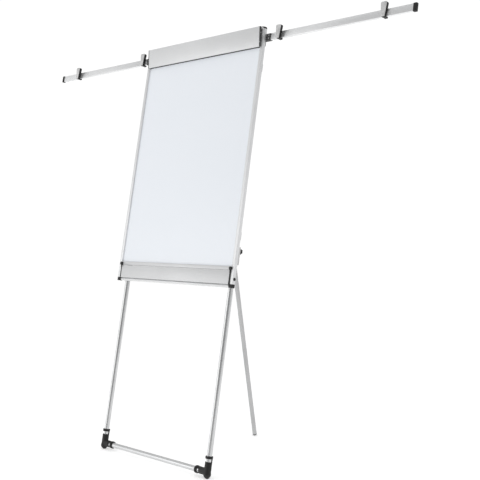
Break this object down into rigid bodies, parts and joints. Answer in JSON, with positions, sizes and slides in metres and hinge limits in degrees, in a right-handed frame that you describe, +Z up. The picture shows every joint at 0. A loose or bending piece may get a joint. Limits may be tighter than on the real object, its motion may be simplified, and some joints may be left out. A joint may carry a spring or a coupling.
{
  "type": "flipchart easel",
  "caption": "Free-standing flipchart easel: tilted magnetic board with paper clamp, folding pen tray, swing-out paper arms with sliding clips, telescopic front frame and folding rear leg.",
  "frame": {"origin": "on the floor, below the middle of the standing easel (bottom centre of its box)", "axes": "+X to the right when facing the writing surface, +Y towards the rear leg, +Z up; the writing surface faces -Y"},
  "size_m": [2.082, 0.6553, 1.7854],
  "materials": {
    "silver_aluminium": "satin",
    "grey_tube": "satin",
    "black_plastic": "satin",
    "dark_grey_plastic": "matte",
    "light_grey_plastic": "satin",
    "white_steel": "gloss",
    "board_core_material": "matte",
    "back_sheet_metal": "satin",
    "black_rubber": "matte",
    "steel": "satin"
  },
  "bodies": {
    "stand": {"leg_inner_tube_left": "grey_tube", "leg_inner_tube_right": "grey_tube", "bottom_tube": "grey_tube", "elbow_left": "black_plastic", "elbow_right": "black_plastic", "foot_pads": "black_rubber", "leg_guide_bushes": "black_plastic"},
    "board": {"frame_profile_left": "silver_aluminium", "frame_profile_right": "silver_aluminium", "frame_profile_top": "silver_aluminium", "frame_profile_bottom": "silver_aluminium", "board_back_sheet": "back_sheet_metal", "board_core": "board_core_material", "board_surface": "white_steel", "leg_outer_tube_left": "grey_tube", "leg_outer_tube_right": "grey_tube", "leg_top_caps": "black_plastic", "lock_sleeve_left": "light_grey_plastic", "lock_sleeve_right": "light_grey_plastic", "upper_cross_tube": "grey_tube", "board_brackets": "light_grey_plastic", "bracket_screws": "steel", "corner_plugs": "black_plastic", "tray_hinge_rail": "silver_aluminium", "clamp_rail": "silver_aluminium", "clamp_hinge_rod": "steel", "clamp_springs": "steel", "arm_support_collars": "dark_grey_plastic", "arm_retaining_screws": "black_plastic", "rear_hinge_bracket": "dark_grey_plastic", "rear_hinge_pin": "steel"},
    "tray": {"tray_profile": "silver_aluminium", "tray_end_caps": "black_plastic"},
    "clamp": {"clamp_bar": "silver_aluminium", "clamp_end_caps": "dark_grey_plastic", "clamp_grip_strip": "black_rubber"},
    "hook_left": {"paper_hook_left": "dark_grey_plastic"},
    "hook_right": {"paper_hook_right": "dark_grey_plastic"},
    "arm_left": {"arm_knuckle_left": "dark_grey_plastic", "arm_rail_left": "silver_aluminium", "arm_end_cap_left": "black_plastic"},
    "arm_right": {"arm_knuckle_right": "dark_grey_plastic", "arm_rail_right": "silver_aluminium", "arm_end_cap_right": "black_plastic"},
    "lock_left": {"lock_knob_left": "black_plastic"},
    "lock_right": {"lock_knob_right": "black_plastic"},
    "rear_leg": {"rear_leg_knuckle": "dark_grey_plastic", "rear_leg_outer_tube": "grey_tube", "rear_lock_sleeve": "light_grey_plastic"},
    "rear_leg_lower": {"rear_leg_inner_tube": "grey_tube", "rear_foot": "black_rubber"},
    "rear_lock": {"rear_lock_knob": "black_plastic"},
    "clip_left_inner": {"clip_body_left_inner": "black_plastic", "clip_plate_left_inner": "light_grey_plastic"},
    "clip_left_outer": {"clip_body_left_outer": "black_plastic", "clip_plate_left_outer": "light_grey_plastic"},
    "clip_right_inner": {"clip_body_right_inner": "black_plastic", "clip_plate_right_inner": "light_grey_plastic"},
    "clip_right_outer": {"clip_body_right_outer": "black_plastic", "clip_plate_right_outer": "light_grey_plastic"}
  },
  "joints": [
    {"name": "board_height", "type": "slide", "parent": "stand", "child": "board", "axis": [0, 0.1736, 0.9848], "range_m": [-0.4, 0.1]},
    {"name": "rear_leg_fold", "type": "hinge", "parent": "board", "child": "rear_leg", "pos_m": [0, 0.00688, 1.65885], "axis": [-1, 0, 0], "range_deg": [0, 20.3]},
    {"name": "rear_leg_length", "type": "slide", "parent": "rear_leg", "child": "rear_leg_lower", "axis": [0, 0.185, -0.9827], "range_m": [-0.4, 0.1]},
    {"name": "clamp_open", "type": "hinge", "parent": "board", "child": "clamp", "pos_m": [0, -0.04262, 1.76912], "axis": [-1, 0, 0], "range_deg": [0, 60], "stiffness_Nm_per_rad": 0.6, "springref_deg": -28.65},
    {"name": "tray_fold", "type": "hinge", "parent": "board", "child": "tray", "pos_m": [0, -0.2107, 0.73358], "axis": [1, 0, 0], "range_deg": [0, 90]},
    {"name": "arm_left_swing", "type": "hinge", "parent": "board", "child": "arm_left", "pos_m": [-0.315, -0.0104, 1.72841], "axis": [0, 0.1736, 0.9848], "range_deg": [-170, 0]},
    {"name": "arm_right_swing", "type": "hinge", "parent": "board", "child": "arm_right", "pos_m": [0.315, -0.0104, 1.72841], "axis": [0, 0.1736, 0.9848], "range_deg": [0, 170]},
    {"name": "lock_left_turn", "type": "hinge", "parent": "board", "child": "lock_left", "pos_m": [-0.315, -0.13694, 0.86679], "axis": [0, 0.9848, -0.1736], "range_deg": [0, 360]},
    {"name": "lock_right_turn", "type": "hinge", "parent": "board", "child": "lock_right", "pos_m": [0.315, -0.13694, 0.86679], "axis": [0, 0.9848, -0.1736], "range_deg": [0, 360]},
    {"name": "rear_lock_turn", "type": "hinge", "parent": "rear_leg", "child": "rear_lock", "pos_m": [0, 0.16687, 0.92783], "axis": [0, 0.9827, 0.185], "range_deg": [0, 360]},
    {"name": "hook_left_slide", "type": "slide", "parent": "board", "child": "hook_left", "axis": [-1, 0, 0], "range_m": [-0.04, 0.145]},
    {"name": "hook_right_slide", "type": "slide", "parent": "board", "child": "hook_right", "axis": [1, 0, 0], "range_m": [-0.04, 0.145]},
    {"name": "clip_left_inner_slide", "type": "slide", "parent": "arm_left", "child": "clip_left_inner", "axis": [-1, 0, 0], "range_m": [-0.008, 0.22]},
    {"name": "clip_left_outer_slide", "type": "slide", "parent": "arm_left", "child": "clip_left_outer", "axis": [-1, 0, 0], "range_m": [-0.22, 0.115]},
    {"name": "clip_right_inner_slide", "type": "slide", "parent": "arm_right", "child": "clip_right_inner", "axis": [1, 0, 0], "range_m": [-0.03, 0.22]},
    {"name": "clip_right_outer_slide", "type": "slide", "parent": "arm_right", "child": "clip_right_outer", "axis": [1, 0, 0], "range_m": [-0.22, 0.1]}
  ]
}
